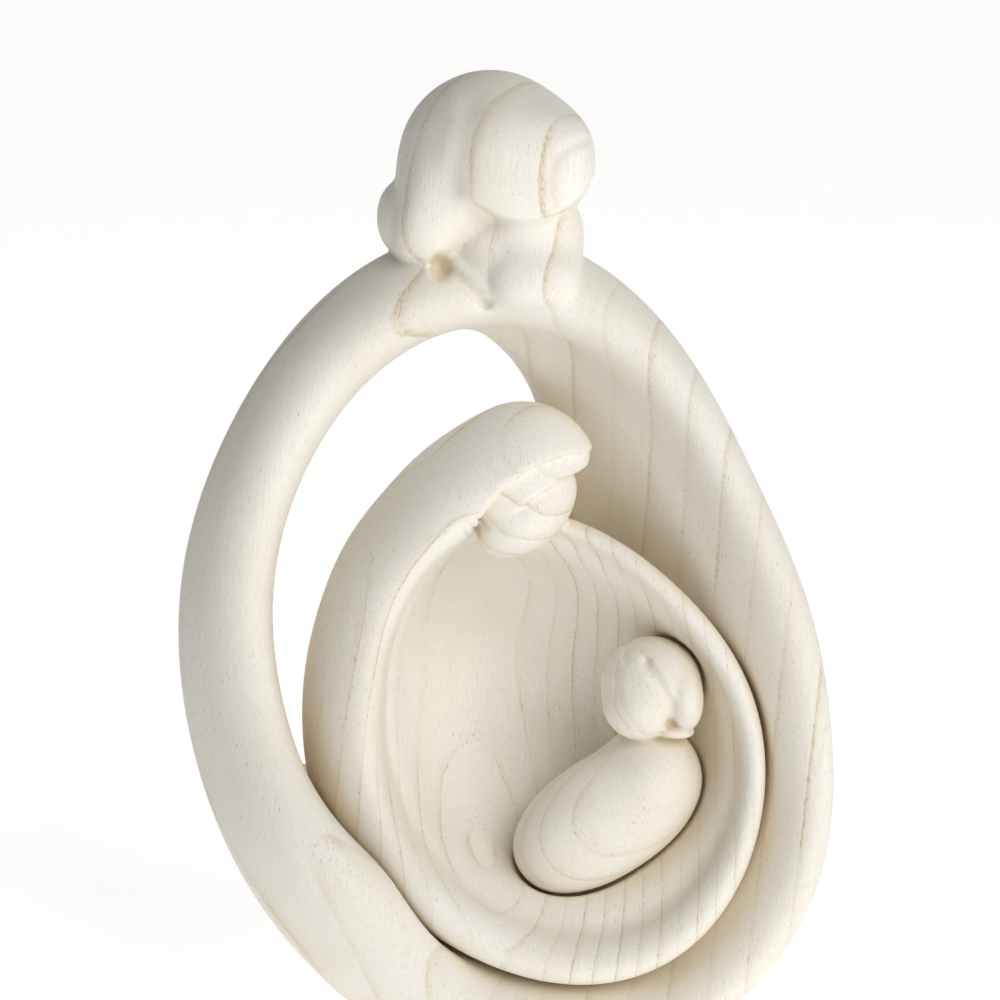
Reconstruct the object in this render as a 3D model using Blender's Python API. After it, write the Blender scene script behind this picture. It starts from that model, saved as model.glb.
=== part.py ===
"""A Holy Family carved from pale ash in three pieces that nest in one another.

Joseph is the large outer piece: his arms and robe close into an upright ring,
with a hollow behind it and a window through its back. Mary sits in that hollow:
her bowed figure runs down into an open bowl. The Child lies loose in the bowl.

The wood is carved in code. Each piece is a field, a function of points in space
that is negative inside the wood, put together from pebbles, rims, limbs and cuts
whose seams are rounded as a carver rounds them. The field is sampled on a grid,
its zero surface becomes a mesh, and Blender's modifiers thin that mesh out.
"""

import math

import bmesh
import bpy
import numpy as np

# Driving sizes, in metres
HEIGHT = 0.200  # from the foot to the top of Joseph's head
JOSEPH_WALL = 0.008  # of the hollow that Mary sits in, at its deepest
MARY_WALL = 0.007  # of the bowl that the Child lies in, at its deepest
NEST_GAP = 0.0009  # all round Mary, where Joseph is cut to take her
CRADLE_GAP = 0.0008  # all round the Child, where Mary is cut to take it
FOOT_WIDTH = 0.068  # of the thickening that the group stands on
FOOT_DEPTH = 0.038

# Triangles that each piece is thinned to
JOSEPH_FACETS = 4500
MARY_FACETS = 3100
CHILD_FACETS = 1500

# Everything carved is a share of the height. The numbers from here on are in
# parts of one two-hundredth of it, as x, depth and z or as x and z.
UNIT = HEIGHT / 200
GRID = 1.3  # spacing of the points at which the fields are read

# Depths are measured back from the plane of Joseph's arm, which lies this far
# in front of the middle of the whole group.
ARM_TO_MIDDLE = 6.0

# Outlines are given by the hour: lengths from a heart to the outline at twelve
# o'clock, one o'clock and so on round, as seen from the front.
JOSEPH_HEART = (4.0, 72.0)
JOSEPH_REACH = (95, 74.5, 61.6, 61.7, 68.9, 76.4, 78.2, 72.3, 67.2, 69.8, 76.8, 90.1)
JOSEPH_RIM = (9.0, 6.5, 6, 6, 6.2, 7.2, 10.5, 14.2, 12.4, 10.8, 9.8, 9.4)
JOSEPH_RIM_DEPTH = (12, 8, 6, 6, 7, 11, 18, 16, 14, 13, 12.5, 12.5)
JOSEPH_LIE = (-4, -9, -14, -15, -13, -8, -4, -10, -13, -8, -5, -4)
JOSEPH_WALL_LIE = (-6, -13, -19, -20, -18, -14, -10, -12, -12, -8, -5, -4)
JOSEPH_BACK = 40.0

WINDOW_HEART = (-21.9, 97.6)
WINDOW_REACH = (54, 49, 35.5, 30, 29, 33, 42, 46, 44, 42, 42, 48)

MARY_HEART = (0.0, 73.0)
MARY_REACH = (39.6, 40, 43.4, 50.7, 58.3, 61.7, 54.2, 46.6, 42.7, 40.2, 40.4, 40.9)
MARY_RIM = (2, 2, 2.4, 3, 3.6, 4.6, 6, 7.4, 8.4, 8.4, 7, 4)
MARY_RIM_DEPTH = (3, 3, 4, 5, 6, 7, 8, 10, 10.5, 10.5, 9, 5)
MARY_LIE = (-5, -9, -12, -13, -14, -14, -14, -11, -6, -6, -7, -6)
MARY_BACK = 26.0

BOWL_HEART = (-5.8, 80.6)
BOWL_REACH = (25.4, 28.8, 35.2, 49, 62, 57.7, 44.6, 31, 20.5, 16.8, 16.4, 19.9)
BOWL_LIE = (-6, -10, -14, -16, -17, -17, -17, -15, -10, -8, -7, -6)

# Mary's figure: x, depth, z and radius, from her lap up over her back to her neck
MARY_BACKBONE = (
    (-20, -7, 37, 6.4),
    (-27.0, -6, 46, 7.8),
    (-31.0, -6, 57, 8.4),
    (-31.2, -7, 70, 8.4),
    (-29.6, -7, 85, 8.5),
    (-24.8, -7, 99, 9.2),
    (-16.2, -8, 110.2, 9.6),
    (-7.5, -9, 119.0, 9.2),
    (0.5, -9, 122.5, 8.4),
)
VEIL_BEND = (15.5, 103.0)  # the middle of the curves that bound her veil and hair
VEIL_EDGE = 22.0
HAIR_EDGE = 18.0

FRINGE_BEND = (4.2, 185)  # the middle of the curve that bounds Joseph's fringe
FRINGE_EDGE = 14.2

FULL_TURN = 2 * math.pi
FINE_HOURS = 720


def clock(hours, angle):
    """The length at an angle past twelve, on a smooth closed curve through the hours."""
    fine = np.fft.irfft(np.fft.rfft(hours), FINE_HOURS) * FINE_HOURS / len(hours)
    place = (angle % FULL_TURN) / FULL_TURN * FINE_HOURS
    return np.interp(place, np.arange(FINE_HOURS + 1), np.append(fine, fine[0]))


def polar(points, heart):
    """Distance from a heart and angle past twelve, in the plane of the front."""
    across = points[:, 0] - heart[0]
    up = points[:, 2] - heart[1]
    return np.hypot(across, up), np.arctan2(across, up)


def slope(hours, angle):
    """How fast the length changes with the angle."""
    step = FULL_TURN / FINE_HOURS
    return (clock(hours, angle + step) - clock(hours, angle - step)) / (2 * step)


def blend(a, b, seam):
    """Two forms joined, with the corner between them filled to a round seam."""
    near = np.maximum(seam - np.abs(a - b), 0) / seam
    return np.minimum(a, b) - near * near * seam / 4


def cut(a, b, seam):
    """The first form less the second, with the edge between them rounded."""
    return -blend(-a, b, seam)


def pebble(points, heart, reach, lie, back, fullness, offset=0.0):
    """A form with the given outline on its rim plane, closing to one point at the back."""
    away, angle = polar(points, heart)
    edge = clock(reach, angle) - offset
    plane = clock(lie, angle)
    deep = back - plane
    u = away / edge
    v = np.maximum(points[:, 1] - plane, 0) / deep
    size = np.maximum((u**fullness + v**fullness) ** (1 / fullness), 1e-6)
    outward = (u / size) ** (fullness - 1) / edge
    outward = outward * np.hypot(1, slope(reach, angle) / edge)
    backward = (v / size) ** (fullness - 1) / deep
    return (size - 1) / np.maximum(np.hypot(outward, backward), 1e-6)


def rim(points, heart, reach, width, depth, lie):
    """A closed roll that follows an outline on its inner side."""
    away, angle = polar(points, heart)
    half = clock(width, angle)
    thick = clock(depth, angle)
    edge = clock(reach, angle)
    u = (away - (edge - half)) / half
    v = (points[:, 1] - clock(lie, angle)) / thick
    size = np.maximum(np.hypot(u, v), 1e-6)
    outward = u / size / half * np.hypot(1, slope(reach, angle) / edge)
    return (size - 1) / np.maximum(np.hypot(outward, v / size / thick), 1e-6)


def prism(points, heart, reach):
    """A form with the given outline that runs straight through from front to back."""
    away, angle = polar(points, heart)
    edge = clock(reach, angle)
    return (away - edge) / np.hypot(1, slope(reach, angle) / edge)


def egg(points, centre, radii, lean=0.0, fullness=2.0):
    """An egg leant over to the right by so many degrees; a greater fullness squares it up."""
    x, y, z = (points - np.array(centre)).T
    c, s = math.cos(math.radians(lean)), math.sin(math.radians(lean))
    share = np.abs(np.stack([c * x - s * z, y, c * z + s * x], axis=1) / np.array(radii))
    size = np.maximum(np.sum(share**fullness, axis=1) ** (1 / fullness), 1e-6)
    steep = (share / size[:, None]) ** (fullness - 1) / np.array(radii)
    return (size - 1) / np.maximum(np.linalg.norm(steep, axis=1), 1e-6)


def bore(points, centre, radius):
    """A round hole that runs straight from front to back."""
    return np.hypot(points[:, 0] - centre[0], points[:, 2] - centre[1]) - radius


def path(stations, count=8):
    """A smooth line through stations of x, y, z and radius."""
    ends = np.array([stations[0], *stations, stations[-1]], float)
    t = np.linspace(0, 1, count, endpoint=False)[:, None]
    line = []
    for a, b, c, d in zip(ends, ends[1:], ends[2:], ends[3:]):
        line.append(
            b + t * (c - a) / 2
            + t**2 * (2 * a - 5 * b + 4 * c - d) / 2
            + t**3 * (3 * b - a - 3 * c + d) / 2
        )
    return np.concatenate([*line, ends[-1:]])


def limb(points, stations, deeper=1.0):
    """A tapering round limb along stations, and so many times deeper than it is wide."""
    squeeze = np.array([1, 1 / deeper, 1])
    line = path(stations)
    p = points * squeeze
    spine = line[:, :3] * squeeze
    best = np.full(len(p), 1e9)
    for start, end, r0, r1 in zip(spine, spine[1:], line[:, 3], line[1:, 3]):
        along = end - start
        t = np.clip((p - start) @ along / (along @ along), 0, 1)
        off = np.linalg.norm(p - start - t[:, None] * along, axis=1)
        best = np.minimum(best, off - (r0 + t * (r1 - r0)))
    return best


def mary_field(p):
    """Mary: a bowl with a rolled rim, and her bowed figure rising from its left."""
    body = pebble(p, MARY_HEART, MARY_REACH, MARY_LIE, MARY_BACK, 1.9, offset=1.5)
    front = clock(MARY_LIE, polar(p, MARY_HEART)[1]) - p[:, 1]
    body = cut(body, -front, 3)
    roll = rim(p, MARY_HEART, MARY_REACH, MARY_RIM, MARY_RIM_DEPTH, MARY_LIE)
    body = blend(body, roll, 3)
    figure = limb(p, MARY_BACKBONE, 1.25)
    veil = egg(p, (4.5, -9, 119.4), (14.5, 12.2, 14.9))
    figure = cut(blend(figure, veil, 6), bore(p, VEIL_BEND, VEIL_EDGE), 0.8)
    body = blend(body, figure, 5)
    floor = MARY_BACK - MARY_WALL / UNIT
    hollow = pebble(p, BOWL_HEART, BOWL_REACH, BOWL_LIE, floor, 1.7)
    body = cut(body, hollow, 5)
    hair = egg(p, (4.2, -9, 118.6), (12.0, 11.2, 13.6))
    hair = cut(hair, bore(p, VEIL_BEND, HAIR_EDGE), 0.8)
    face = egg(p, (5.0, -8.4, 112.6), (12.2, 9.4, 9.0), lean=-44)
    return blend(blend(body, hair, 0.6), face, 0.6)


def child_field(p):
    """The Child: a swaddled body, and a round head with parted hair."""
    body = egg(p, (21.2, -5, 48.6), (21.2, 12, 12.2), lean=-34, fullness=2.2)
    skull = egg(p, (29.9, -8, 76.6), (10.2, 10.4, 9.8))
    left = egg(p, (27.6, -10, 73.2), (7.6, 8.6, 7.4), lean=20)
    right = egg(p, (36.2, -10, 75.0), (4.2, 8.0, 7.4), lean=-8)
    head = blend(blend(skull, left, 0.8), right, 0.8)
    neck = egg(p, (31.6, -6, 65.4), (4.6, 5, 5))
    return blend(blend(body, neck, 1.5), head, 1.2)


def joseph_head(p):
    """Joseph's head: a cap of hair with a fringe, and a plain, bearded face."""
    cap = egg(p, (-2.6, -3, 181.8), (18.4, 17.4, 18.2))
    nape = egg(p, (-13.8, -5.0, 172.8), (7.6, 12.5, 12.6), lean=18, fullness=2.5)
    cap = cut(blend(cap, nape, 5), egg(p, (-1.5, -25, 170), (8.5, 11, 9)), 1.5)
    flip = egg(p, (-20.6, -1, 170.8), (4.8, 10, 7.4))
    lap = bore(p, FRINGE_BEND, FRINGE_EDGE)
    fringe = egg(p, (3.2, -9, 181), (14.6, 14, 12.6), fullness=2.3)
    fringe = -blend(-fringe, -lap, 0.8)
    lock = egg(p, (13.4, -11.6, 179.6), (4.8, 10, 7.2))
    lock = -blend(-lock, -lap, 0.8)
    hair = blend(blend(blend(cap, flip, 1.5), fringe, 2), lock, 0.8)
    jaw = egg(p, (1.4, -8, 164.4), (9.6, 11.4, 12.8), lean=-20, fullness=2.3)
    face = egg(p, (5.2, -7.4, 165), (9.6, 11.6, 10.5), fullness=2.6)
    beard = egg(p, (5.0, -9.5, 158.2), (9.2, 11, 7.4), fullness=2.4)
    return blend(hair, blend(blend(face, beard, 3), jaw, 1.2), 0.8)


def joseph_field(p):
    """Joseph: a ring of arms and robe, the wall behind it, its window and his head."""
    body = pebble(p, JOSEPH_HEART, JOSEPH_REACH, JOSEPH_LIE, JOSEPH_BACK, 1.55, offset=2)
    front = clock(JOSEPH_LIE, polar(p, JOSEPH_HEART)[1]) - p[:, 1]
    body = cut(body, -front, 3)
    inner = np.array(JOSEPH_REACH) - 1.75 * np.array(JOSEPH_RIM)
    floor = JOSEPH_BACK - JOSEPH_WALL / UNIT
    hollow = pebble(p, JOSEPH_HEART, inner, JOSEPH_WALL_LIE, floor, 1.08)
    roll = rim(p, JOSEPH_HEART, JOSEPH_REACH, JOSEPH_RIM, JOSEPH_RIM_DEPTH, JOSEPH_LIE)
    body = cut(body, hollow, 6)
    body = cut(body, prism(p, WINDOW_HEART, WINDOW_REACH), 5)
    body = blend(body, roll, 4)
    foot = (FOOT_WIDTH / 2 / UNIT, FOOT_DEPTH / 2 / UNIT, 13)
    body = blend(body, egg(p, (7, 0, 5), foot), 9)
    body = cut(body, egg(p, (-12, -18, 161.4), (3.4, 8, 2.9)), 1.5)
    body = blend(body, joseph_head(p), 1.2)
    nest = mary_field(p) - NEST_GAP / UNIT
    body = cut(body, nest, 1)
    return np.maximum(body, -3 - p[:, 2])


def mary_with_cradle(p):
    """Mary, cut to take the Child."""
    return cut(mary_field(p), child_field(p) - CRADLE_GAP / UNIT, 0.6)


def sampled(field, low, high, step):
    """The field read on a grid: closely near the surface, coarsely elsewhere."""
    coarse = 4
    count = np.ceil((np.array(high) - low) / step / coarse).astype(int) * coarse + 1
    axes = [low[i] + step * np.arange(count[i]) for i in range(3)]

    def read(chosen):
        grid = np.stack(np.meshgrid(*chosen, indexing="ij"), axis=-1)
        return field(grid.reshape(-1, 3)).reshape(grid.shape[:3])

    rough = read([a[::coarse] for a in axes])
    values = rough
    for axis in range(3):
        values = np.repeat(values, coarse, axis=axis)
    values = values[: count[0], : count[1], : count[2]]
    near = np.abs(rough) < 2.0 * step * coarse
    for axis in range(3):
        near = near | np.roll(near, 1, axis) | np.roll(near, -1, axis)
    for axis in range(3):
        near = np.repeat(near, coarse, axis=axis)
    near = near[: count[0], : count[1], : count[2]]
    i, j, k = np.nonzero(near)
    values = values.copy()
    values[i, j, k] = field(np.stack([axes[0][i], axes[1][j], axes[2][k]], axis=1))
    return values


def joined(values, step):
    """Fills in where the wood would touch itself only along an edge or at a point."""
    values = values.copy()
    ends = (slice(None, -1), slice(1, None))
    while True:
        inside = values < 0
        fill = np.zeros_like(inside)
        for axis in range(3):
            here = np.moveaxis(inside, axis, 0)
            there = np.moveaxis(fill, axis, 0)
            squares = [(slice(None), i, j) for i in ends for j in ends]
            a, b, c, d = [here[square] for square in squares]
            crossed = (a == d) & (b == c) & (a != b)
            for square in squares:
                there[square] |= crossed
        corners = [(i, j, k) for i in ends for j in ends for k in ends]
        count = sum(inside[corner].astype(np.int8) for corner in corners)
        for n in range(4):
            a, b = inside[corners[n]], inside[corners[7 - n]]
            lone = (a & b & (count == 2)) | (~a & ~b & (count == 6))
            for corner in corners:
                fill[corner] |= lone
        fill &= ~inside
        if not fill.any():
            return values
        values[fill] = -0.1 * step


def skin(values, low, step):
    """The zero surface of sampled values, as corner points and four-sided faces."""
    cells = np.array(values.shape) - 1
    total = np.zeros((cells.prod(), 3))
    count = np.zeros(cells.prod())
    faces = []
    for axis in range(3):
        here = np.moveaxis(values, axis, 0)[:-1]
        there = np.moveaxis(values, axis, 0)[1:]
        crossing = np.argwhere((here < 0) != (there < 0))
        a = here[tuple(crossing.T)]
        b = there[tuple(crossing.T)]
        place = np.insert(crossing[:, 1:], axis, crossing[:, 0], axis=1)
        point = place.astype(float)
        point[:, axis] += a / (a - b)
        u, v = (axis + 1) % 3, (axis + 2) % 3
        around = []
        for du, dv in ((0, 0), (1, 0), (1, 1), (0, 1)):
            cell = place.copy()
            cell[:, u] -= du
            cell[:, v] -= dv
            index = np.ravel_multi_index(cell.T, cells)
            for k in range(3):
                total[:, k] += np.bincount(index, point[:, k], len(total))
            count += np.bincount(index, minlength=len(total))
            around.append(index)
        quad = np.stack(around, axis=1)
        faces.append(np.where((a < 0)[:, None], quad, quad[:, ::-1]))
    used = count > 0
    number = np.cumsum(used) - 1
    points = total[used] / count[used, None] * step + low
    return points, number[np.concatenate(faces)]


def wood(name, colour):
    """A pale, open-grained wood with no varnish."""
    material = bpy.data.materials.new(name)
    material.use_nodes = True
    shader = material.node_tree.nodes["Principled BSDF"]
    shader.inputs["Base Color"].default_value = (*colour, 1)
    shader.inputs["Roughness"].default_value = 0.6
    shader.inputs["Metallic"].default_value = 0.0
    return material


def saw(mesh):
    """Cuts a mesh off flat at the height of the foot, and closes it there."""
    block = bmesh.new()
    block.from_mesh(mesh)
    bmesh.ops.bisect_plane(
        block,
        geom=[*block.verts, *block.edges, *block.faces],
        plane_co=(0, 0, 0),
        plane_no=(0, 0, -1),
        clear_outer=True,
    )
    bmesh.ops.holes_fill(block, edges=[e for e in block.edges if e.is_boundary])
    bmesh.ops.triangulate(block, faces=[f for f in block.faces if len(f.verts) > 4])
    block.to_mesh(mesh)
    block.free()


def carve(name, field, low, high, facets, material):
    """One piece of wood as an object, thinned out and sawn flat at the foot."""
    low = np.array(low, float)
    values = joined(sampled(field, low, np.array(high, float), GRID), GRID)
    points, faces = skin(values, low, GRID)
    points = (points - (0, ARM_TO_MIDDLE, 0)) * UNIT
    rough = bpy.data.meshes.new(name + "_rough")
    rough.from_pydata(points.tolist(), [], faces.tolist())
    piece = bpy.data.objects.new(name, rough)
    bpy.context.scene.collection.objects.link(piece)
    thin = piece.modifiers.new("fewer_faces", "DECIMATE")
    thin.ratio = min(facets / (2 * len(faces)), 1)
    seen = piece.evaluated_get(bpy.context.evaluated_depsgraph_get())
    mesh = bpy.data.meshes.new_from_object(seen)
    mesh.name = name
    piece.modifiers.clear()
    piece.data = mesh
    bpy.data.meshes.remove(rough)
    saw(mesh)
    mesh.shade_smooth()
    mesh.materials.clear()
    mesh.materials.append(material)
    return piece


def main():
    for old in list(bpy.data.objects):
        bpy.data.objects.remove(old)
    ash = wood("ash_joseph", (0.79, 0.71, 0.56))
    carve("joseph", joseph_field, (-76, -32, -7), (76, 52, 206), JOSEPH_FACETS, ash)
    ash = wood("ash_mary", (0.80, 0.70, 0.54))
    carve("mary", mary_with_cradle, (-46, -30, 10), (60, 38, 140), MARY_FACETS, ash)
    ash = wood("ash_child", (0.82, 0.73, 0.58))
    carve("child", child_field, (-4, -22, 30), (46, 18, 90), CHILD_FACETS, ash)


if __name__ == "__main__":
    main()
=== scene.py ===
"""A Holy Family carved from pale ash, with a plain studio round it.

The three pieces are carved in code, as the part's own solids are: each is a
field, a function of points in space that is negative inside the wood. Here the
fields are read more closely, and carry the finer carving of heads, hair, hem and
bowl. The wood's rings, pores and fibres are worked out from where a point lies in
the log, so the grain runs through each piece as it would through real ash.
"""

import math

import bpy
import numpy as np
from bpy.props import FloatProperty, FloatVectorProperty, IntProperty, PointerProperty
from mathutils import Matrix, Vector


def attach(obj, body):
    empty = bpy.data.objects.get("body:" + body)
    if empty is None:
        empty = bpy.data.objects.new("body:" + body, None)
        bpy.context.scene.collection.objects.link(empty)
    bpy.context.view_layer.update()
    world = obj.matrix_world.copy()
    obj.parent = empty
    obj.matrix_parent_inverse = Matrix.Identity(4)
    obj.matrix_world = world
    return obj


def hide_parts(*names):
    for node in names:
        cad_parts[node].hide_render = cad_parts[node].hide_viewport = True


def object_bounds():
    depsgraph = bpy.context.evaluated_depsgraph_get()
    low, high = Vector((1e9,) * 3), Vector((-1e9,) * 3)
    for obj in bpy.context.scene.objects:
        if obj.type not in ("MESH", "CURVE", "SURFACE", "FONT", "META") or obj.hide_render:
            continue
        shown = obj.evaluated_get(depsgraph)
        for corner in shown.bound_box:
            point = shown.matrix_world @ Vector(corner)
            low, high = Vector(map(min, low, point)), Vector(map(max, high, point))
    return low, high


bl_info = {
    "name": "Holy Family Carving",
    "version": (1, 0, 0),
    "blender": (4, 5, 0),
    "location": "3D View > Sidebar > Carving",
    "description": "Carves the three nested pieces of a Holy Family group in ash",
    "category": "Add Mesh",
}

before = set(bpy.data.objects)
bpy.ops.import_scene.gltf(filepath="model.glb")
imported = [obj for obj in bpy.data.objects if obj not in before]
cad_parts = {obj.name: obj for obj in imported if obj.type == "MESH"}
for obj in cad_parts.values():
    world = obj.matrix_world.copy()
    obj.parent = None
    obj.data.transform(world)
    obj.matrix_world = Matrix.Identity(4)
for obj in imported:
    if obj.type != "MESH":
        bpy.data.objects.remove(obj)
CAD_LOW, CAD_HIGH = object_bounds()
HEIGHT = round(CAD_HIGH.z - CAD_LOW.z, 3)

# Lengths below are in parts of a two-hundredth of the group's height, as x, depth
# and z or as x and z. Depths are measured back from the plane of the outer arm.
UNITS_HIGH = 200
ARM_TO_MIDDLE = 6.0

# Outlines are given by the hour: lengths from a heart to the outline at twelve
# o'clock, one o'clock and so on round, as seen from the front.
JOSEPH_HEART = (4.0, 72.0)
JOSEPH_REACH = (95, 74.5, 61.5, 61.4, 68.6, 76.3, 78.2, 72.3, 67.2, 69.7, 76.8, 90.1)
JOSEPH_RIM = (9.0, 6.2, 5.4, 5.4, 5.8, 7.2, 10.5, 14.2, 12.4, 10.8, 9.8, 9.4)
JOSEPH_RIM_DEPTH = (12, 8, 6, 6, 7, 11, 17, 13.8, 11.8, 11, 11, 12)
JOSEPH_LIE = (-4, -9, -14, -15, -13, -8, -4, -10, -13, -8, -5, -4)
JOSEPH_WALL_LIE = (-6, -13, -19, -20, -18, -14, -10, -12, -12, -8, -5, -4)
JOSEPH_LEAN = (0.25, -0.1, -0.3, -0.35, -0.3, -0.1, 0.3, 0.5, 0.6, 0.6, 0.5, 0.4)
JOSEPH_BACK = 40.0
JOSEPH_FLOOR = 32.0  # the deepest point of the hollow for the middle piece
HOLLOW_INSET = 1.75  # how far the hollow's outline lies in from the arms', in rim widths

WINDOW_HEART = (-21.9, 97.6)
WINDOW_REACH = (54, 49, 35.5, 30, 29, 33, 42, 46, 44, 42, 42, 48)

MARY_HEART = (0.0, 73.0)
MARY_REACH = (39.6, 40, 43.4, 50.7, 58.3, 61.7, 54.2, 46.6, 42.7, 40.2, 40.4, 40.9)
MARY_RIM = (2, 2, 2.8, 3.6, 4.2, 5.0, 6.2, 7.4, 8.4, 8.4, 7, 4)
MARY_RIM_DEPTH = (3, 3, 4, 5, 6, 7, 8, 10, 10.5, 10.5, 9, 5)
MARY_LIE = (-5, -9, -12, -13, -14, -14, -14, -11, -6, -6, -7, -6)
MARY_LEAN = (0, -0.1, -0.2, -0.25, -0.25, -0.15, 0.0, 0.3, 0.5, 0.5, 0.5, 0.2)
MARY_BACK = 26.0

BOWL_HEART = (-5.8, 80.6)
BOWL_REACH = (25.4, 28.3, 33.8, 46.6, 59.4, 55.4, 43.6, 31, 20.5, 16.8, 16.4, 19.9)
BOWL_LIE = (-6, -10, -14, -16, -17, -17, -17, -15, -10, -8, -7, -6)
BOWL_FLOOR = 19.0

# The bowed figure: x, depth, z and radius, from the lap up over the back to the neck
MARY_BACKBONE = (
    (-20, -7, 37, 6.4),
    (-27.0, -6, 46, 7.8),
    (-31.0, -6, 57, 8.4),
    (-31.2, -7, 70, 8.4),
    (-29.6, -7, 85, 8.5),
    (-24.8, -7, 99, 9.2),
    (-16.2, -8, 110.2, 9.6),
    (-7.5, -9, 119.0, 9.2),
    (0.5, -9, 122.5, 8.4),
)
BACK_LEAN = 0.5

# The middle and radius of the curves that bound the veil and the hair under it
VEIL_BEND = (15.5, 103.0)
VEIL_EDGE = 22.0
HAIR_BEND = (28.0, 83.0)
HAIR_EDGE = 40.0

# Eggs: a centre and radii, then the lean to the right in degrees, and the fullness
VEIL = ((4.5, -9, 119.4), (14.5, 12.2, 14.9))
MARY_HAIR = ((4.2, -9, 118.6), (12.0, 11.2, 13.6))
MARY_TEMPLE = ((11.4, -9, 124.4), (6.0, 7.2, 5.4), 27)
MARY_FACE = ((4.5, -9, 113), (12, 10, 8), -45)

SWADDLE = ((21.2, -5, 48.6), (21.2, 12, 12.2), -34, 2.2)
CHILD_SHOULDERS = ((30.3, -5.6, 59.2), (8.8, 11, 8.6), 10)
CHILD_COLLAR = ((34.2, -10.6, 68.0), (4.4, 5.4, 1.6), 8)
CHILD_SKULL = ((29.9, -8, 76.6), (10.2, 10.4, 9.8))
CHILD_LEFT_HAIR = ((27.6, -10, 73.2), (7.6, 8.6, 7.4), 20)
CHILD_RIGHT_HAIR = ((36.2, -10, 75.0), (4.2, 8.0, 7.4), -8)
CHILD_NICK = ((20.3, -14, 81.0), (1.5, 4, 1.3))

FOOT = ((7, 0, 5), (34.0, 19.0, 13.0))
JOSEPH_CAP = ((-2.6, -3, 181.8), (18.4, 17.4, 18.2))
JOSEPH_NAPE = ((-13.8, -5.0, 172.8), (7.6, 12.5, 12.6), 18, 2.5)
JOSEPH_TEMPLE = ((-1.5, -25, 170), (8.5, 11, 9))
JOSEPH_FLIP = ((-20.6, -1, 170.8), (4.8, 10, 7.4))
JOSEPH_FRINGE = ((3.2, -9, 180.2), (14.6, 13.8, 13.0), 0, 2.8)
JOSEPH_FORELOCK = ((12.2, -10.6, 181.8), (5.0, 10.8, 8.8))
JOSEPH_FACE = ((5, -7, 167), (11, 11, 12.5))
JOSEPH_SIDE = ((-0.5, -6, 163), (9, 11, 12), -20)
JOSEPH_BEARD = ((5.5, -9, 159), (10, 11, 7), 0, 2.5)
NECK_PIT = ((-12.3, -17, 161.6), (2.6, 7.5, 2.8))

FRINGE_BEND = (4.2, 185)  # the middle of the curve that bounds the fringe
FRINGE_EDGE = 14.2

# Lines scored into the heads, as x and z
JOSEPH_PARTING = ((-6.5, 192), (-6.9, 189.2), (-7.6, 186.5), (-8.7, 182.5), (-9.1, 178.6))
JOSEPH_LOCK = ((15.6, 186.2), (12.9, 185.2), (10.4, 183.2), (9.0, 180.5), (8.9, 177), (9.6, 173.6))
NECK_CREASE = ((-12.0, 161.4), (-9.2, 159.6), (-6.0, 157.0), (-3.4, 154.6))
CURLS = (
    ((-5.2, 112.4), (-3.2, 109.8)),
    ((-6.6, 111.1), (-4.8, 108.6)),
    ((-7.8, 109.7), (-6.2, 107.6)),
)
CHILD_PARTING = ((28.7, 82.4), (30.3, 79.8), (31.8, 77.2), (32.9, 74.3), (33.4, 70.4))
CHILD_CROWN = ((24.4, 82.6), (24.9, 84.4), (27.0, 84.6), (28.7, 82.4))
CHILD_LOCKS = (
    ((20.9, 79.8), (20.9, 76.6), (22.0, 73.0), (24.4, 70.0)),
    ((22.9, 80.6), (22.9, 76.2), (24.6, 72.0), (27.4, 68.8)),
)

# The air left between a piece and the wood that it sits in
NEST_GAP = 0.9
CRADLE_GAP = 0.8

# The boxes that the fields are read in, from their low to their high corners
JOSEPH_BOX = ((-76, -32, -7), (76, 52, 206))
MARY_BOX = ((-46, -30, 10), (60, 38, 140))
CHILD_BOX = ((-4, -22, 30), (46, 18, 90))
WIDEST_STRIDE = 8  # how many steps apart the first reading is
NEAR = 2.6  # how many strides off the surface a reading is still refined
FILL_DEPTH = 0.1  # how far inside the surface a filled reading lies, in steps
GENTLEST_SLOPE = 0.2  # the least squared slope that a point is moved along
LONGEST_MOVE = 0.5  # how far a point may be moved at a time, in steps
SCORE_REACH = 4  # how far off the surface a scored line is still worked out
SCORE_FADE = 3  # the depth over which a scored line fades out

# How each piece lay in its log: its turn in degrees, the stretch of the rings along
# the log's three directions, the way from the pith in millimetres, and the season
JOSEPH_LOG = ((3.2, -6.2, -12.9), (1.658, 1.0, -0.034), (84.0, -54.5, -46.1), 0.75)
MARY_LOG = ((16.8, 1.6, -7.6), (1.341, 1.0, 0.428), (6.6, 25.3, -24.1), 0.8)
CHILD_LOG = ((6.0, 38.0, 0.0), (1.0, 1.0, 0.0), (16.0, -190.0, 0.0), 0.0)

# The ash: how much of a second colour is mixed in at most, and the depth of its relief
BAND_SHARE = 0.34
LINE_SHARE = 0.46
FIBRE_SHARE = 0.24
PORE_SHARE = 0.42
# Painted shade: how much of the darker hollow colour is mixed in at most where other wood is near,
# and how far that reaches
HOLLOW_SHADE_SHARE = 0.5
HOLLOW_SHADE_REACH = 0.02  # how far off other wood still shades a place, in metres
STRAY_PORES = 0.45  # how thickly pores are strewn where the rings lie flat
RELIEF = {"pore": -0.8, "line": -0.35, "velvet": 0.7, "fibre": 0.4}
RELIEF_DEPTH = 0.00025

FULL_TURN = 2 * math.pi
FINE_HOURS = 720  # how many angles an outline is worked out at

# The studio: each softbox's angle round the group and above it in degrees, width
# in metres, power in watts and colour, then the glow of sky and backdrop
LIGHT_DISTANCE = 0.9
SOFTBOXES = (
    ("key_light", 35, 25, 0.6, 4.7, (1.0, 0.99, 0.97)),
    ("top_light", 0, 85, 0.6, 0.8, (1.0, 1.0, 1.0)),
)
SKY = 0.08
GLOW = 0.66
CAMERA_TARGET = (-0.0007, -0.006, 0.1133)


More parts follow.
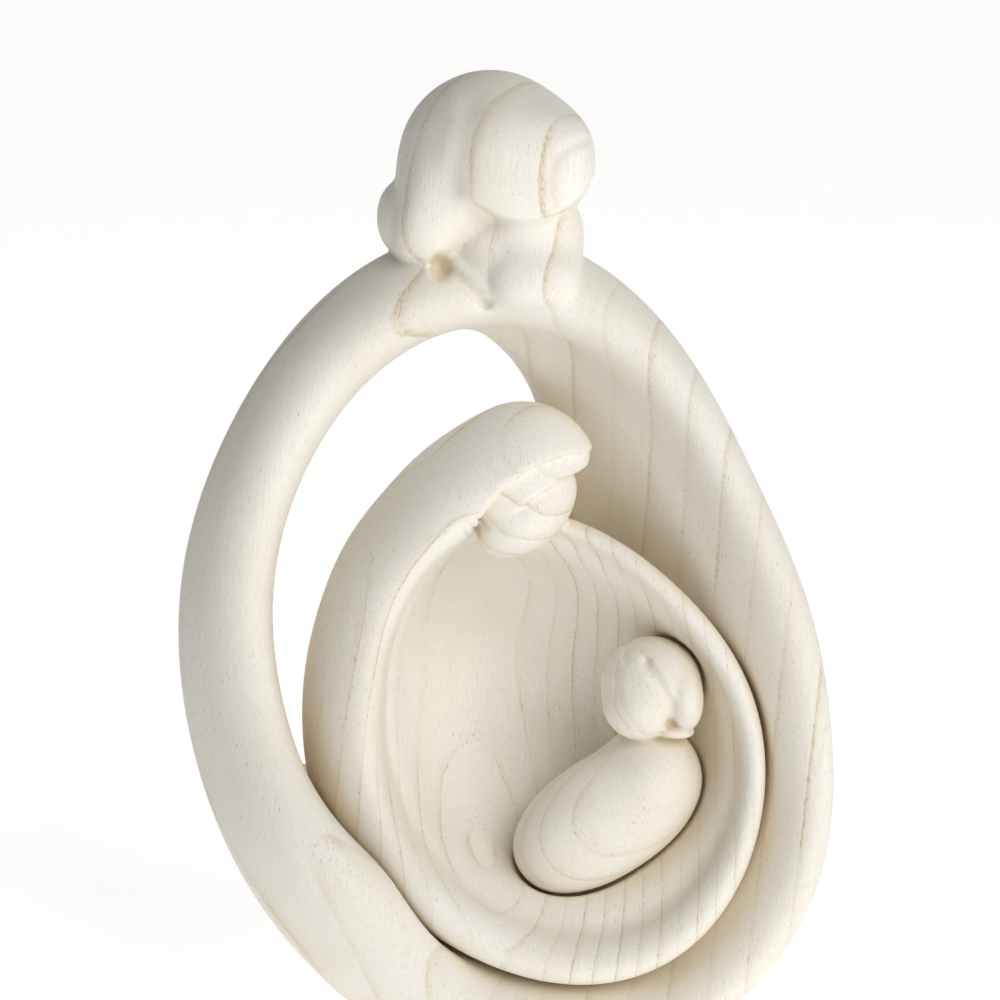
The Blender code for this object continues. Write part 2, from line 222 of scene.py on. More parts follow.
def clock(hours, angle):
    """The length at an angle past twelve, on a smooth closed curve through the hours."""
    fine = np.fft.irfft(np.fft.rfft(hours), FINE_HOURS) * FINE_HOURS / len(hours)
    place = (angle % FULL_TURN) / FULL_TURN * FINE_HOURS
    return np.interp(place, np.arange(FINE_HOURS + 1), np.append(fine, fine[0]))


def polar(points, heart):
    """Distance from a heart and angle past twelve, in the plane of the front."""
    across = points[:, 0] - heart[0]
    up = points[:, 2] - heart[1]
    return np.hypot(across, up), np.arctan2(across, up)


def slope(hours, angle):
    """How fast the length changes with the angle."""
    step = FULL_TURN / FINE_HOURS
    return (clock(hours, angle + step) - clock(hours, angle - step)) / (2 * step)


def blend(a, b, seam):
    """Two forms joined, with the corner between them filled to a round seam."""
    near = np.maximum(seam - np.abs(a - b), 0) / seam
    return np.minimum(a, b) - near * near * seam / 4


def cut(a, b, seam):
    """The first form less the second, with the edge between them rounded."""
    return -blend(-a, b, seam)


def pebble(points, heart, reach, lie, back, fullness, offset=0.0):
    """A form with the given outline on its rim plane, closing to one point at the back."""
    away, angle = polar(points, heart)
    edge = clock(reach, angle) - offset
    plane = clock(lie, angle)
    deep = back - plane
    u = away / edge
    v = np.maximum(points[:, 1] - plane, 0) / deep
    size = np.maximum((u**fullness + v**fullness) ** (1 / fullness), 1e-6)
    outward = (u / size) ** (fullness - 1) / edge
    outward = outward * np.hypot(1, slope(reach, angle) / edge)
    backward = (v / size) ** (fullness - 1) / deep
    return (size - 1) / np.maximum(np.hypot(outward, backward), 1e-6)


def rim(points, heart, reach, width, depth, lie, lean):
    """A closed roll that follows an outline on its inner side, and leans back outwards."""
    away, angle = polar(points, heart)
    half = clock(width, angle)
    thick = clock(depth, angle)
    edge = clock(reach, angle)
    u = (away - (edge - half)) / half
    v = (points[:, 1] - clock(lie, angle) - clock(lean, angle) * u * half) / thick
    size = np.maximum(np.hypot(u, v), 1e-6)
    outward = u / size / half * np.hypot(1, slope(reach, angle) / edge)
    return (size - 1) / np.maximum(np.hypot(outward, v / size / thick), 1e-6)


def prism(points, heart, reach):
    """A form with the given outline that runs straight through from front to back."""
    away, angle = polar(points, heart)
    edge = clock(reach, angle)
    return (away - edge) / np.hypot(1, slope(reach, angle) / edge)


def egg(points, centre, radii, lean=0.0, fullness=2.0):
    """An egg leant over to the right by so many degrees; a greater fullness squares it up."""
    x, y, z = (points - np.array(centre)).T
    c, s = math.cos(math.radians(lean)), math.sin(math.radians(lean))
    share = np.abs(np.stack([c * x - s * z, y, c * z + s * x], axis=1) / np.array(radii))
    size = np.maximum(np.sum(share**fullness, axis=1) ** (1 / fullness), 1e-6)
    steep = (share / size[:, None]) ** (fullness - 1) / np.array(radii)
    return (size - 1) / np.maximum(np.linalg.norm(steep, axis=1), 1e-6)


def bore(points, centre, radius):
    """A round hole that runs straight from front to back."""
    return np.hypot(points[:, 0] - centre[0], points[:, 2] - centre[1]) - radius


def path(stations, count=8):
    """A smooth line through stations of x, y, z and radius."""
    ends = np.array([stations[0], *stations, stations[-1]], float)
    t = np.linspace(0, 1, count, endpoint=False)[:, None]
    line = []
    for a, b, c, d in zip(ends, ends[1:], ends[2:], ends[3:]):
        line.append(
            b + t * (c - a) / 2
            + t**2 * (2 * a - 5 * b + 4 * c - d) / 2
            + t**3 * (3 * b - a - 3 * c + d) / 2
        )
    return np.concatenate([*line, ends[-1:]])


def limb(points, stations, deeper=1.0, lean=0.0):
    """A tapering round limb along stations, and so many times deeper than it is wide.

    It leans back by a share of the distance to the left of its path."""
    squeeze = np.array([1, 1 / deeper, 1])
    line = path(stations)
    p = points * squeeze
    spine = line[:, :3] * squeeze
    best = np.full(len(p), 1e9)
    for start, end, r0, r1 in zip(spine, spine[1:], line[:, 3], line[1:, 3]):
        along = end - start
        t = np.clip((p - start) @ along / (along @ along), 0, 1)
        gap = p - start - t[:, None] * along
        if lean:
            leftward = np.array([-along[2], 0, along[0]]) / np.hypot(along[0], along[2])
            gap[:, 1] -= lean / deeper * (gap @ leftward)
        off = np.linalg.norm(gap, axis=1)
        best = np.minimum(best, off - (r0 + t * (r1 - r0)))
    return best


def scored(wood, p, line, width, depth, front=0.0):
    """The wood with a soft groove along a line of x and z, on the side facing the front.

    The groove is so many units wide on either side of the line. A depth below zero
    raises a ridge instead. It fades out where the wood turns back past the front plane."""
    flat = np.array(line, float)
    low, high = flat.min(axis=0) - width, flat.max(axis=0) + width
    near = (np.abs(wood) < SCORE_REACH) & (p[:, 1] < front)
    near &= (p[:, 0] > low[0]) & (p[:, 0] < high[0]) & (p[:, 2] > low[1]) & (p[:, 2] < high[1])
    if not near.any():
        return wood
    stations = [(x, 0, z, width) for x, z in line]
    share = np.clip(-limb(p[near] * (1, 0, 1), stations) / width, 0, 1)
    share = share * share * (3 - 2 * share)
    facing = np.clip((front - p[near, 1]) / SCORE_FADE, 0, 1)
    wood = wood.copy()
    wood[near] += depth * share * facing
    return wood


def mary_field(p):
    """The middle piece: a bowl with a rolled rim, and a bowed figure rising from its left."""
    body = pebble(p, MARY_HEART, MARY_REACH, MARY_LIE, MARY_BACK, 1.9, offset=1.5)
    front = clock(MARY_LIE, polar(p, MARY_HEART)[1]) - p[:, 1]
    body = cut(body, -front, 3)
    roll = rim(p, MARY_HEART, MARY_REACH, MARY_RIM, MARY_RIM_DEPTH, MARY_LIE, MARY_LEAN)
    body = blend(body, roll, 3)
    figure = limb(p, MARY_BACKBONE, 1.25, BACK_LEAN)
    veil = egg(p, *VEIL)
    figure = cut(blend(figure, veil, 6), bore(p, VEIL_BEND, VEIL_EDGE), 0.8)
    body = blend(body, figure, 5)
    hollow = pebble(p, BOWL_HEART, BOWL_REACH, BOWL_LIE, BOWL_FLOOR, 1.7)
    body = cut(body, hollow, 6)
    hair = egg(p, *MARY_HAIR)
    hair = blend(hair, egg(p, *MARY_TEMPLE), 2)
    hair = cut(hair, bore(p, HAIR_BEND, HAIR_EDGE), 0.8)
    face = egg(p, *MARY_FACE)
    body = blend(blend(body, hair, 0.6), face, 0.6)
    for line in CURLS:
        body = scored(body, p, line, 0.9, 0.45)
    return body


def child_field(p):
    """The inner piece: a swaddled body, and a round head with parted hair."""
    body = egg(p, *SWADDLE)
    skull = egg(p, *CHILD_SKULL)
    left = egg(p, *CHILD_LEFT_HAIR)
    right = egg(p, *CHILD_RIGHT_HAIR)
    head = blend(blend(skull, left, 0.8), right, 0.8)
    shoulders = egg(p, *CHILD_SHOULDERS)
    head = scored(head, p, CHILD_PARTING, 2.0, 1.0)
    head = scored(head, p, CHILD_CROWN, 1.3, 0.35)
    for line in CHILD_LOCKS:
        head = scored(head, p, line, 1.4, 0.35)
    head = cut(head, egg(p, *CHILD_NICK), 1.0)
    collar = egg(p, *CHILD_COLLAR)
    body = blend(blend(body, shoulders, 4), collar, 0.8)
    return blend(body, head, 0.6)


def joseph_head(p):
    """The outer piece's head: a cap of hair with a fringe, and a plain, bearded face."""
    cap = egg(p, *JOSEPH_CAP)
    nape = egg(p, *JOSEPH_NAPE)
    cap = cut(blend(cap, nape, 5), egg(p, *JOSEPH_TEMPLE), 1.5)
    flip = egg(p, *JOSEPH_FLIP)
    lap = bore(p, FRINGE_BEND, FRINGE_EDGE)
    fringe = egg(p, *JOSEPH_FRINGE)
    fringe = -blend(-fringe, -lap, 0.8)
    lock = egg(p, *JOSEPH_FORELOCK)
    lock = -blend(-lock, -lap, 0.8)
    hair = blend(blend(blend(cap, flip, 1.5), fringe, 5), lock, 2)
    hair = scored(hair, p, JOSEPH_PARTING, 4.0, 0.5, front=-4)
    hair = scored(hair, p, JOSEPH_LOCK, 1.5, 0.35, front=-2)
    face = egg(p, *JOSEPH_FACE)
    side = egg(p, *JOSEPH_SIDE)
    beard = egg(p, *JOSEPH_BEARD)
    return blend(hair, blend(blend(face, beard, 3), side, 0.8), 0.5)


def joseph_field(p):
    """The outer piece: a ring of arms and robe, the wall behind it, its window and a head."""
    body = pebble(p, JOSEPH_HEART, JOSEPH_REACH, JOSEPH_LIE, JOSEPH_BACK, 1.55, offset=3.5)
    front = clock(JOSEPH_LIE, polar(p, JOSEPH_HEART)[1]) - p[:, 1]
    body = cut(body, -front, 3)
    inner = np.array(JOSEPH_REACH) - HOLLOW_INSET * np.array(JOSEPH_RIM)
    hollow = pebble(p, JOSEPH_HEART, inner, JOSEPH_WALL_LIE, JOSEPH_FLOOR, 1.08)
    roll = rim(
        p, JOSEPH_HEART, JOSEPH_REACH, JOSEPH_RIM, JOSEPH_RIM_DEPTH, JOSEPH_LIE, JOSEPH_LEAN
    )
    body = cut(body, hollow, 6)
    body = cut(body, prism(p, WINDOW_HEART, WINDOW_REACH), 5)
    body = blend(body, roll, 6)
    body = blend(body, egg(p, *FOOT), 9)
    body = blend(body, joseph_head(p), 0.8)
    body = scored(body, p, NECK_CREASE, 2.0, 1.8, front=-4)
    body = cut(body, egg(p, *NECK_PIT), 1.2)
    body = cut(body, mary_field(p) - NEST_GAP, 1)
    return np.maximum(body, -p[:, 2])


def mary_with_cradle(p):
    """The middle piece, cut to take the inner one."""
    return cut(mary_field(p), child_field(p) - CRADLE_GAP, 0.6)


def sampled(field, low, high, step):
    """The field read on a grid, more closely from pass to pass where the surface is near."""
    count = np.ceil((high - low) / step / WIDEST_STRIDE).astype(int) * WIDEST_STRIDE + 1
    axes = [low[i] + step * np.arange(count[i]) for i in range(3)]
    stride = WIDEST_STRIDE
    chosen = [a[::stride] for a in axes]
    places = np.stack(np.meshgrid(*chosen, indexing="ij"), axis=-1).reshape(-1, 3)
    values = field(places).reshape([len(a) for a in chosen])
    while stride > 1:
        near = np.abs(values) < NEAR * stride * step
        for axis in range(3):
            spread = near.copy()
            ahead = np.moveaxis(spread, axis, 0)
            flat = np.moveaxis(near, axis, 0)
            ahead[1:] |= flat[:-1]
            ahead[:-1] |= flat[1:]
            near = spread
        stride //= 2
        for axis in range(3):
            values = np.repeat(values, 2, axis=axis)
            near = np.repeat(near, 2, axis=axis)
        ends = tuple(slice(0, (n - 1) // stride + 1) for n in count)
        values, near = values[ends].copy(), near[ends]
        i, j, k = np.nonzero(near)
        places = np.stack([axes[n][m * stride] for n, m in enumerate((i, j, k))], axis=1)
        values[i, j, k] = field(places)
    return values


def joined(values, step):
    """Fills in where the wood would touch itself only along an edge or at a point."""
    values = values.copy()
    ends = (slice(None, -1), slice(1, None))
    while True:
        inside = values < 0
        fill = np.zeros_like(inside)
        for axis in range(3):
            here = np.moveaxis(inside, axis, 0)
            there = np.moveaxis(fill, axis, 0)
            squares = [(slice(None), i, j) for i in ends for j in ends]
            a, b, c, d = [here[square] for square in squares]
            crossed = (a == d) & (b == c) & (a != b)
            for square in squares:
                there[square] |= crossed
        corners = [(i, j, k) for i in ends for j in ends for k in ends]
        count = sum(inside[corner].astype(np.int8) for corner in corners)
        for n in range(4):
            a, b = inside[corners[n]], inside[corners[7 - n]]
            lone = (a & b & (count == 2)) | (~a & ~b & (count == 6))
            for corner in corners:
                fill[corner] |= lone
        fill &= ~inside
        if not fill.any():
            return values
        values[fill] = -FILL_DEPTH * step


def skin(values, low, step):
    """The zero surface of sampled values, as corner points and four-sided faces."""
    cells = np.array(values.shape) - 1
    total = np.zeros((cells.prod(), 3))
    count = np.zeros(cells.prod())
    faces = []
    for axis in range(3):
        here = np.moveaxis(values, axis, 0)[:-1]
        there = np.moveaxis(values, axis, 0)[1:]
        crossing = np.argwhere((here < 0) != (there < 0))
        a = here[tuple(crossing.T)]
        b = there[tuple(crossing.T)]
        place = np.insert(crossing[:, 1:], axis, crossing[:, 0], axis=1)
        point = place.astype(float)
        point[:, axis] += a / (a - b)
        u, v = (axis + 1) % 3, (axis + 2) % 3
        around = []
        for du, dv in ((0, 0), (1, 0), (1, 1), (0, 1)):
            cell = place.copy()
            cell[:, u] -= du
            cell[:, v] -= dv
            index = np.ravel_multi_index(cell.T, cells)
            for k in range(3):
                total[:, k] += np.bincount(index, point[:, k], len(total))
            count += np.bincount(index, minlength=len(total))
            around.append(index)
        quad = np.stack(around, axis=1)
        faces.append(np.where((a < 0)[:, None], quad, quad[:, ::-1]))
    used = count > 0
    number = np.cumsum(used) - 1
    points = total[used] / count[used, None] * step + low
    return points, number[np.concatenate(faces)]


def steepest(field, points, reach=0.05):
    """The field's value at each point, and how it changes along x, y and z."""
    here = field(points)
    change = [field(points + reach * np.eye(3)[axis]) - here for axis in range(3)]
    return here, np.stack(change, axis=1) / reach


def pared(field, points, step):
    """The points moved straight onto the field's zero surface, and never far."""
    for _ in range(2):
        value, change = steepest(field, points)
        length = np.maximum(np.sum(change * change, axis=1), GENTLEST_SLOPE)
        move = -change * (value / length)[:, None]
        far = np.maximum(np.linalg.norm(move, axis=1) / (LONGEST_MOVE * step), 1)
        points = points + move / far[:, None]
    return points


def carve(name, field, low, high, step, facets):
    """One piece of wood as an object, smoothed, thinned out and seated on its foot."""
    low = np.array(low, float)
    values = joined(sampled(field, low, np.array(high, float), step), step)
    points, faces = skin(values, low, step)
    points = pared(field, points, step)
    points[:, 2] = np.maximum(points[:, 2], 0)
    points = (points - (0, ARM_TO_MIDDLE, 0)) * HEIGHT / UNITS_HIGH
    rough = bpy.data.meshes.new(name + "_rough")
    rough.from_pydata(points.tolist(), [], faces.tolist())
    piece = bpy.data.objects.new(name, rough)
    bpy.context.scene.collection.objects.link(piece)
    if 2 * len(faces) > facets:
        thin = piece.modifiers.new("fewer_faces", "DECIMATE")
        thin.ratio = facets / (2 * len(faces))
    seen = piece.evaluated_get(bpy.context.evaluated_depsgraph_get())
    mesh = bpy.data.meshes.new_from_object(seen)
    mesh.name = name
    piece.modifiers.clear()
    piece.data = mesh
    bpy.data.meshes.remove(rough)
    mesh.shade_smooth()
    print(name, len(mesh.polygons), "faces")
    return piece


class Bench:
    """One material's nodes. Each call adds a node, feeds it, and gives its first outlet."""

    def __init__(self, name):
        self.material = bpy.data.materials.new(name)
        self.material.use_nodes = True
        self.tree = self.material.node_tree
        self.shader = self.tree.nodes["Principled BSDF"]

    def feed(self, socket, value):
        if isinstance(value, bpy.types.NodeSocket):
            self.tree.links.new(value, socket)
        else:
            socket.default_value = value

    def add(self, kind, *values, outlet=0, settings=(), **named):
        node = self.tree.nodes.new(kind)
        for key, value in dict(settings).items():
            setattr(node, key, value)
        for socket, value in zip(node.inputs, values):
            if value is not None:
                self.feed(socket, value)
        for key, value in named.items():
            self.feed(node.inputs[key.replace("_", " ")], value)
        return node.outputs[outlet]

    def math(self, operation, *values, clamp=False):
        settings = {"operation": operation, "use_clamp": clamp}
        return self.add("ShaderNodeMath", *values, settings=settings)

    def vector(self, operation, *values):
        return self.add("ShaderNodeVectorMath", *values, settings={"operation": operation})

    def noise(self, place, scale, detail=2.0, roughness=0.5):
        return self.add(
            "ShaderNodeTexNoise",
            Vector=place, Scale=scale, Detail=detail, Roughness=roughness,
        )

    def between(self, value, low, high, start=0.0, end=1.0, smooth=True):
        kind = "SMOOTHSTEP" if smooth else "LINEAR"
        settings = {"interpolation_type": kind}
        return self.add("ShaderNodeMapRange", value, low, high, start, end, settings=settings)

    def mix(self, share, a, b):
        node = self.tree.nodes.new("ShaderNodeMix")
        node.data_type = "RGBA"
        self.feed(node.inputs["Factor"], share)
        for socket, value in zip([s for s in node.inputs if s.type == "RGBA"], (a, b)):
            self.feed(socket, value)
        return next(s for s in node.outputs if s.type == "RGBA")


def ash(name, finish, ring, log):
    """Pale, unvarnished ash: rings round a pith, pore bands, fibres and specks, with shade painted
    into its hollows.

    ring is a year's growth in millimetres, and log says how the piece lay in the log:
    its turn in degrees, how the rings are stretched along each of the log's three
    directions, the way from the pith in millimetres, and the share of a year."""
    turn, stretch, offset, phase = log
    bench = Bench(name)
    coordinates = bench.tree.nodes.new("ShaderNodeTexCoord").outputs

    def turned(vector, kind, scale):
        """A vector of the piece as it lay in the log."""
        settings = {"vector_type": kind}
        mapped = bench.add("ShaderNodeMapping", vector, settings=settings)
        mapped.node.inputs["Rotation"].default_value = [math.radians(t) for t in turn]
        mapped.node.inputs["Scale"].default_value = (scale, scale, scale)
        return mapped

    place = turned(coordinates["Object"], "POINT", 1000)
    facing = turned(coordinates["Normal"], "VECTOR", 1)

    def drawn(across, along):
        """The place in the log, scaled across the grain and along it."""
        return bench.vector("MULTIPLY", place, (across, across, along))

    def centred(value, width):
        """A value from nought to one, spread evenly about nought."""
        return bench.math("MULTIPLY", bench.math("SUBTRACT", value, 0.5), width)

    def measured(operation, *vectors):
        """The single number that a sum on vectors gives."""
        settings = {"operation": operation}
        return bench.add("ShaderNodeVectorMath", *vectors, outlet=1, settings=settings)

    from_pith = bench.vector("ADD", bench.vector("MULTIPLY", place, stretch), offset)
    outward = bench.vector("NORMALIZE", bench.vector("MULTIPLY", from_pith, stretch))
    along_ring = bench.math("ABSOLUTE", measured("DOT_PRODUCT", outward, facing))
    crossing = bench.between(along_ring, 0.82, 0.98, 1.0, 0.0)

    away = measured("LENGTH", from_pith)
    away = bench.math("ADD", away, centred(bench.noise(drawn(0.014, 0.006), 1, 1), finish.sway))
    away = bench.math("ADD", away, centred(bench.noise(drawn(0.16, 0.03), 1, 2), finish.ripple))
    rings = bench.math("ADD", bench.math("DIVIDE", away, ring), phase)
    season = bench.math("FRACT", rings)
    year = bench.math("FLOOR", bench.math("ADD", rings, 0.04))
    one_way = {"noise_dimensions": "1D"}
    vigour = bench.add("ShaderNodeTexNoise", W=year, Scale=7.3, Detail=0.0, settings=one_way)
    vigour = bench.between(vigour, 0.32, 0.66, 0.25, 1.0)
    patchy = bench.between(bench.noise(drawn(0.07, 0.03), 1, 1), 0.3, 0.6, 0.25, 1.0)
    vigour = bench.math("MULTIPLY", bench.math("MULTIPLY", vigour, patchy), crossing)
    rise = bench.between(season, 0.96, 1.0)
    halo = bench.math("MAXIMUM", bench.between(season, 0.0, 0.42, 1.0, 0.0), rise)
    flat = bench.math("SUBTRACT", 1.0, crossing)
    fuzz = bench.math("MULTIPLY", bench.math("MULTIPLY", halo, flat), STRAY_PORES)
    halo = bench.math("MULTIPLY", halo, vigour)
    line = bench.math("MAXIMUM", bench.between(season, 0.0, 0.12, 1.0, 0.0), rise)
    line = bench.math("MULTIPLY", line, vigour)

    pores = bench.noise(drawn(3.4, 0.55), 1, 1, 0.4)
    porous = bench.math("MAXIMUM", line, fuzz)
    wanted = bench.between(porous, 0.0, 1.0, 0.70, 0.52, smooth=False)
    pore = bench.between(bench.math("SUBTRACT", pores, wanted), 0.0, 0.07)
    fibre = bench.noise(drawn(4.2, 0.12), 1, 3, 0.6)
    velvet = bench.noise(drawn(2.6, 1.3), 1, 2, 0.6)
    cloud = bench.noise(drawn(0.045, 0.02), 1, 2)

    pale = (*finish.sapwood, 1), (*finish.latewood, 1)
    early = (*finish.earlywood, 1)
    colour = bench.mix(bench.between(cloud, 0.34, 0.66), *pale)
    tint = bench.math("MULTIPLY", halo, bench.between(fibre, 0.3, 0.7, 0.5, 1.0))
    colour = bench.mix(bench.math("MULTIPLY", tint, BAND_SHARE), colour, early)
    colour = bench.mix(bench.between(fibre, 0.4, 0.72, 0.0, FIBRE_SHARE), colour, early)
    colour = bench.mix(bench.math("MULTIPLY", line, LINE_SHARE), colour, early)
    colour = bench.mix(bench.math("MULTIPLY", pore, PORE_SHARE), colour, (*finish.pore, 1))
    # Painted shade: where other wood lies near, the colour is mixed towards the darker hollow
    # colour, as the shade in creases and between the pieces would fall
    open_air = bench.add(
        "ShaderNodeAmbientOcclusion", outlet=1, settings={"samples": 4}, Distance=HOLLOW_SHADE_REACH
    )
    hollow = bench.between(open_air, 0.2, 0.78, HOLLOW_SHADE_SHARE, 0.0)
    colour = bench.mix(hollow, colour, (*finish.hollow, 1))
    bench.feed(bench.shader.inputs["Base Color"], colour)
    rough = bench.between(fibre, 0.3, 0.7, 0.55, 0.74, smooth=False)
    bench.feed(bench.shader.inputs["Roughness"], rough)
    bench.shader.inputs["Specular IOR Level"].default_value = 0.3

    relief = bench.math("MULTIPLY", pore, RELIEF["pore"])
    relief = bench.math("ADD", relief, bench.math("MULTIPLY", line, RELIEF["line"]))
    relief = bench.math("ADD", relief, bench.math("MULTIPLY", velvet, RELIEF["velvet"]))
    relief = bench.math("ADD", relief, bench.math("MULTIPLY", fibre, RELIEF["fibre"]))
    bump = bench.add("ShaderNodeBump", Height=relief, Strength=0.5, Distance=RELIEF_DEPTH)
    bench.feed(bench.shader.inputs["Normal"], bump)
    return bench.material


def plain(name, colour, glow):
    """A smooth matte sheet for the studio, with a breath of unevenness."""
    bench = Bench(name)
    place = bench.add("ShaderNodeTexCoord", outlet=3)
    grain = bench.noise(place, 3.0, 2.0)
    darker = tuple(0.985 * c for c in colour)
    bench.feed(bench.shader.inputs["Base Color"], bench.mix(grain, (*colour, 1), (*darker, 1)))
    bench.shader.inputs["Roughness"].default_value = 0.9
    bench.shader.inputs["Emission Color"].default_value = (1, 1, 1, 1)
    bench.shader.inputs["Emission Strength"].default_value = glow
    return bench.material


def seat(piece, node, material):
    """Puts a carved piece in the place of its solid."""
    piece.data.materials.clear()
    piece.data.materials.append(material)
    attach(piece, "root")
    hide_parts(node)
    return piece


def colour_prop(name, description, value):
    return FloatVectorProperty(
        name=name, description=description, default=value, subtype="COLOR", min=0, max=1
    )


class CarvingSizes(bpy.types.PropertyGroup):
    """How closely each piece is carved"""

    joseph_step: FloatProperty(
        name="Outer step", description="Spacing at which the outer piece is read",
        default=0.75, min=0.4,
    )
    mary_step: FloatProperty(
        name="Middle step", description="Spacing at which the middle piece is read",
        default=0.6, min=0.3,
    )
    child_step: FloatProperty(
        name="Inner step", description="Spacing at which the inner piece is read",
        default=0.36, min=0.2,
    )
    facets: IntProperty(
        name="Triangles", description="The most triangles that a piece is thinned to",
        default=180000, min=1000, max=199000,
    )


class AshFinish(bpy.types.PropertyGroup):
    """Colours and grain of the ash, and the colour of the shade painted into its hollows"""

    sapwood: colour_prop("Sapwood", "Palest part of the wood", (0.88, 0.86, 0.805))
    latewood: colour_prop("Latewood", "Dense wood between the pore bands", (0.85, 0.815, 0.735))
    earlywood: colour_prop("Earlywood", "Porous wood at the start of a ring", (0.66, 0.55, 0.36))
    pore: colour_prop("Pores", "Open pores and specks", (0.44, 0.34, 0.20))
    # The darker colour that is painted in as shade where wood lies near other wood
    hollow: colour_prop("Hollows", "Colour of the shade painted into the hollows", (0.70, 0.56, 0.34))
    joseph_ring: FloatProperty(
        name="Outer rings", description="A year's growth in the outer piece, in millimetres",
        default=11.2, min=1,
    )
    mary_ring: FloatProperty(
        name="Middle rings", description="A year's growth in the middle piece, in millimetres",
        default=4.7, min=1,
    )
    child_ring: FloatProperty(
        name="Inner rings", description="A year's growth in the inner piece, in millimetres",
        default=4.4, min=1,
    )
    sway: FloatProperty(
        name="Sway", description="How far the rings wander over a span, in millimetres",
        default=3.0, min=0,
    )
    ripple: FloatProperty(
        name="Ripple", description="How far the rings waver from near to near, in millimetres",
        default=1.2, min=0,
    )


class StudioSettings(bpy.types.PropertyGroup):
    """Camera, floor and lights"""

    distance: FloatProperty(
        name="Distance", description="From the camera to the middle of the group",
        default=0.5668, unit="LENGTH",
    )
    elevation: FloatProperty(
        name="Elevation", description="How far the camera looks down",
        default=math.radians(8), subtype="ANGLE",
    )
    lens: FloatProperty(
        name="Lens", description="Focal length", default=100, unit="CAMERA"
    )
    floor_colour: colour_prop("Floor", "Colour of the floor and backdrop", (0.93, 0.93, 0.92))
    brightness: FloatProperty(
        name="Brightness", description="Strength of all the light at once", default=1.0, min=0
    )


class CarveJoseph(bpy.types.Operator):
    """Carves the outer piece: the ring of arms and robe, the wall behind it, and the head"""

    bl_idname = "holyfamily.carve_joseph"
    bl_label = "Carve the Outer Piece"

    def execute(self, context):
        sizes = context.scene.carving_sizes
        low, high = JOSEPH_BOX
        piece = carve(
            "joseph_carving", joseph_field, low, high, sizes.joseph_step, sizes.facets
        )
        finish = context.scene.ash_finish
        wood = ash("ash_of_joseph", finish, finish.joseph_ring, JOSEPH_LOG)
        seat(piece, "joseph", wood)
        return {"FINISHED"}


class CarveMary(bpy.types.Operator):
    """Carves the middle piece: the bowed, veiled figure and the bowl of the robe"""

    bl_idname = "holyfamily.carve_mary"
    bl_label = "Carve the Middle Piece"

    def execute(self, context):
        sizes = context.scene.carving_sizes
        low, high = MARY_BOX
        piece = carve("mary_carving", mary_with_cradle, low, high, sizes.mary_step, sizes.facets)
        finish = context.scene.ash_finish
        wood = ash("ash_of_mary", finish, finish.mary_ring, MARY_LOG)
        seat(piece, "mary", wood)
        return {"FINISHED"}


class CarveChild(bpy.types.Operator):
    """Carves the inner piece: a swaddled body and a round head"""

    bl_idname = "holyfamily.carve_child"
    bl_label = "Carve the Inner Piece"

    def execute(self, context):
        sizes = context.scene.carving_sizes
        low, high = CHILD_BOX
        piece = carve("child_carving", child_field, low, high, sizes.child_step, sizes.facets)
        finish = context.scene.ash_finish
        wood = ash("ash_of_child", finish, finish.child_ring, CHILD_LOG)
        seat(piece, "child", wood)
        return {"FINISHED"}


def aimed(name, data, place, target):
    """An object set at a place and turned to look at a target."""
    thing = bpy.data.objects.new(name, data)
    thing.location = place
    thing.rotation_mode = "QUATERNION"
    thing.rotation_quaternion = (Vector(target) - Vector(place)).to_track_quat("-Z", "Y")
    bpy.context.scene.collection.objects.link(thing)
    return thing


def softbox(name, azimuth, rise, width, power, colour):
    """A square area light at an angle round the group and above it, both in degrees."""
    light = bpy.data.lights.new(name, "AREA")
    light.size = width
    light.energy = power
    light.color = colour
    a, e = math.radians(azimuth), math.radians(rise)
    way = Vector((math.sin(a) * math.cos(e), -math.cos(a) * math.cos(e), math.sin(e)))
    heart = Vector((0, 0, HEIGHT / 2))
    return aimed(name, light, heart + LIGHT_DISTANCE * way, heart)


class SetStage(bpy.types.Operator):
    """Sets the floor, the soft studio lights and the camera"""

    bl_idname = "holyfamily.set_stage"
    bl_label = "Set the Stage"

    def execute(self, context):
        scene = context.scene
        studio = scene.studio_settings
        backdrop(studio.floor_colour, GLOW * studio.brightness)
        middle = Vector(CAMERA_TARGET)
        back = Vector((0, -math.cos(studio.elevation), math.sin(studio.elevation)))
        lens = bpy.data.cameras.new("front_camera")
        lens.lens = studio.lens
        lens.clip_start = 0.01
        lens.clip_end = 20
        scene.camera = aimed("front_camera", lens, middle + studio.distance * back, middle)
        for name, azimuth, rise, width, power, colour in SOFTBOXES:
            softbox(name, azimuth, rise, width, power * studio.brightness, colour)
        world = bpy.data.worlds.new("white_room")
        world.use_nodes = True
        sky = world.node_tree.nodes["Background"]
        sky.inputs["Color"].default_value = (1, 1, 1, 1)
        sky.inputs["Strength"].default_value = SKY * studio.brightness
        scene.world = world
        scene.view_settings.view_transform = "Standard"
        scene.view_settings.look = "None"
        return {"FINISHED"}


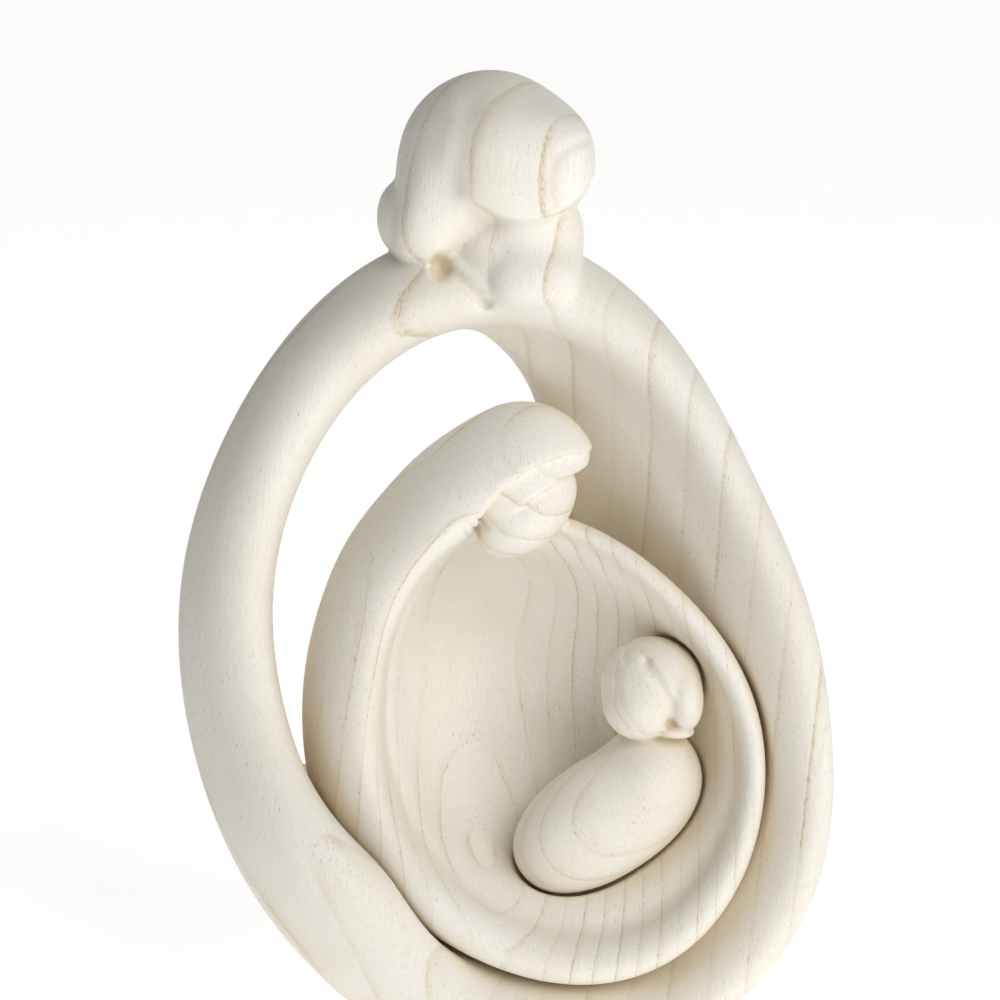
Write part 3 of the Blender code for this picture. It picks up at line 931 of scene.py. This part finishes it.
def backdrop(colour, glow):
    """A floor that curves up into a wall behind the group, lit evenly from within."""
    half, front, bend, top, turns = 3.0, -3.0, 0.8, 2.5, 12
    far = 1.6
    line = [(front, 0.0), (far, 0.0)]
    for i in range(1, turns + 1):
        angle = math.pi / 2 * i / turns
        line.append((far + bend * math.sin(angle), bend * (1 - math.cos(angle))))
    line.append((far + bend, top))
    points = [(x, y, z) for y, z in line for x in (-half, half)]
    faces = [(2 * i, 2 * i + 1, 2 * i + 3, 2 * i + 2) for i in range(len(line) - 1)]
    mesh = bpy.data.meshes.new("backdrop")
    mesh.from_pydata(points, [], faces)
    mesh.shade_smooth()
    mesh.materials.append(plain("white_paper", colour, glow))
    sheet = bpy.data.objects.new("backdrop", mesh)
    bpy.context.scene.collection.objects.link(sheet)


class CarvingPanel(bpy.types.Panel):
    """Lists the carving's settings and steps"""

    bl_idname = "HOLYFAMILY_PT_carving"
    bl_label = "Holy Family"
    bl_space_type = "VIEW_3D"
    bl_region_type = "UI"
    bl_category = "Carving"

    def draw(self, context):
        layout = self.layout
        scene = context.scene
        for group in (scene.carving_sizes, scene.ash_finish, scene.studio_settings):
            box = layout.box()
            for name in group.__annotations__:
                box.prop(group, name)
        for step in STEPS:
            layout.operator(step.bl_idname)


STEPS = (CarveJoseph, CarveMary, CarveChild, SetStage)
CLASSES = (CarvingSizes, AshFinish, StudioSettings, *STEPS, CarvingPanel)


def register():
    for cls in CLASSES:
        bpy.utils.register_class(cls)
    bpy.types.Scene.carving_sizes = PointerProperty(type=CarvingSizes)
    bpy.types.Scene.ash_finish = PointerProperty(type=AshFinish)
    bpy.types.Scene.studio_settings = PointerProperty(type=StudioSettings)


def unregister():
    del bpy.types.Scene.studio_settings
    del bpy.types.Scene.ash_finish
    del bpy.types.Scene.carving_sizes
    for cls in reversed(CLASSES):
        bpy.utils.unregister_class(cls)


def main():
    register()
    for step in STEPS:
        family, name = step.bl_idname.split(".")
        getattr(getattr(bpy.ops, family), name)()


if __name__ == "__main__":
    main()
